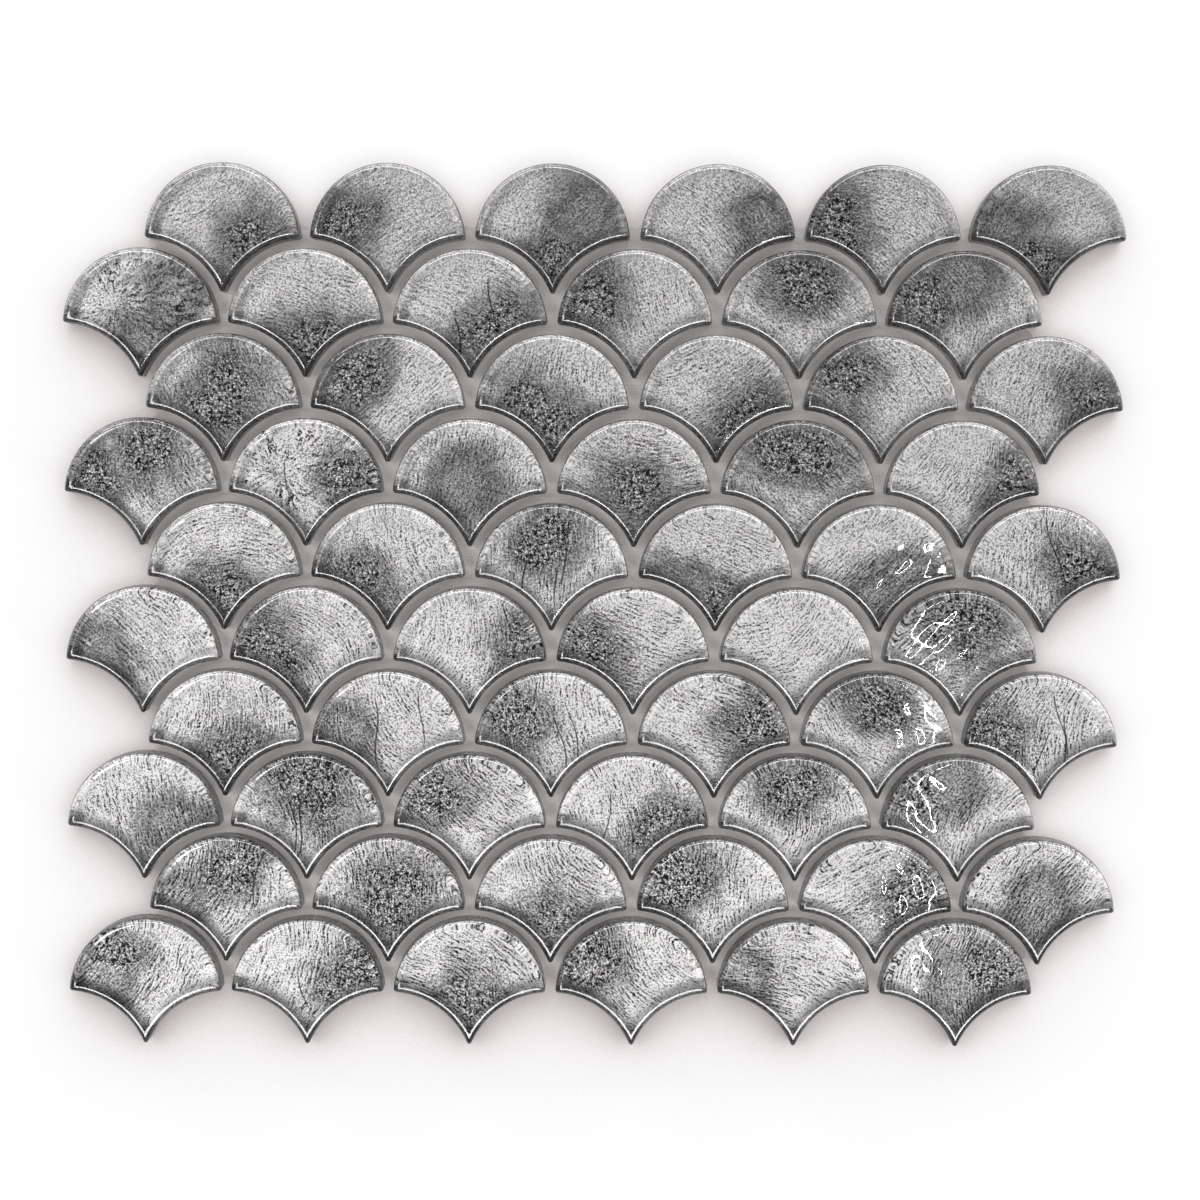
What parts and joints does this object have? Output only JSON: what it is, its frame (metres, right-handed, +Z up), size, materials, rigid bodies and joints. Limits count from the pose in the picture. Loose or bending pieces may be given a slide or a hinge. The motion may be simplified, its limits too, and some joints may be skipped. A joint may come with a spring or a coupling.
{
  "type": "fish scale mosaic tile sheet",
  "caption": "Mosaic sheet of fish scale tiles: staggered rows of thick glass scales backed with crackled silver foil, held by a cloth on the back and laid on walls in adhesive.",
  "frame": {"origin": "middle of the sheet's footprint, on the underside of the cloth", "axes": "+X along the rows, +Y towards the round heads and away from the points, +Z up out of the glass face"},
  "size_m": [0.2962, 0.2482, 0.0084],
  "materials": {
    "foil_glass": "polished clear glass over crumpled silver leaf with smoky grey patches and fine black crackle",
    "cloth": "close-woven glass-fibre cloth, warm pale grey, stiff with dried glue"
  },
  "bodies": {
    "root": {"scale_row_01": "foil_glass", "scale_row_02": "foil_glass", "scale_row_03": "foil_glass", "scale_row_04": "foil_glass", "scale_row_05": "foil_glass", "scale_row_06": "foil_glass", "scale_row_07": "foil_glass", "scale_row_08": "foil_glass", "scale_row_09": "foil_glass", "scale_row_10": "foil_glass", "backing_cloth": "cloth"}
  },
  "joints": []
}
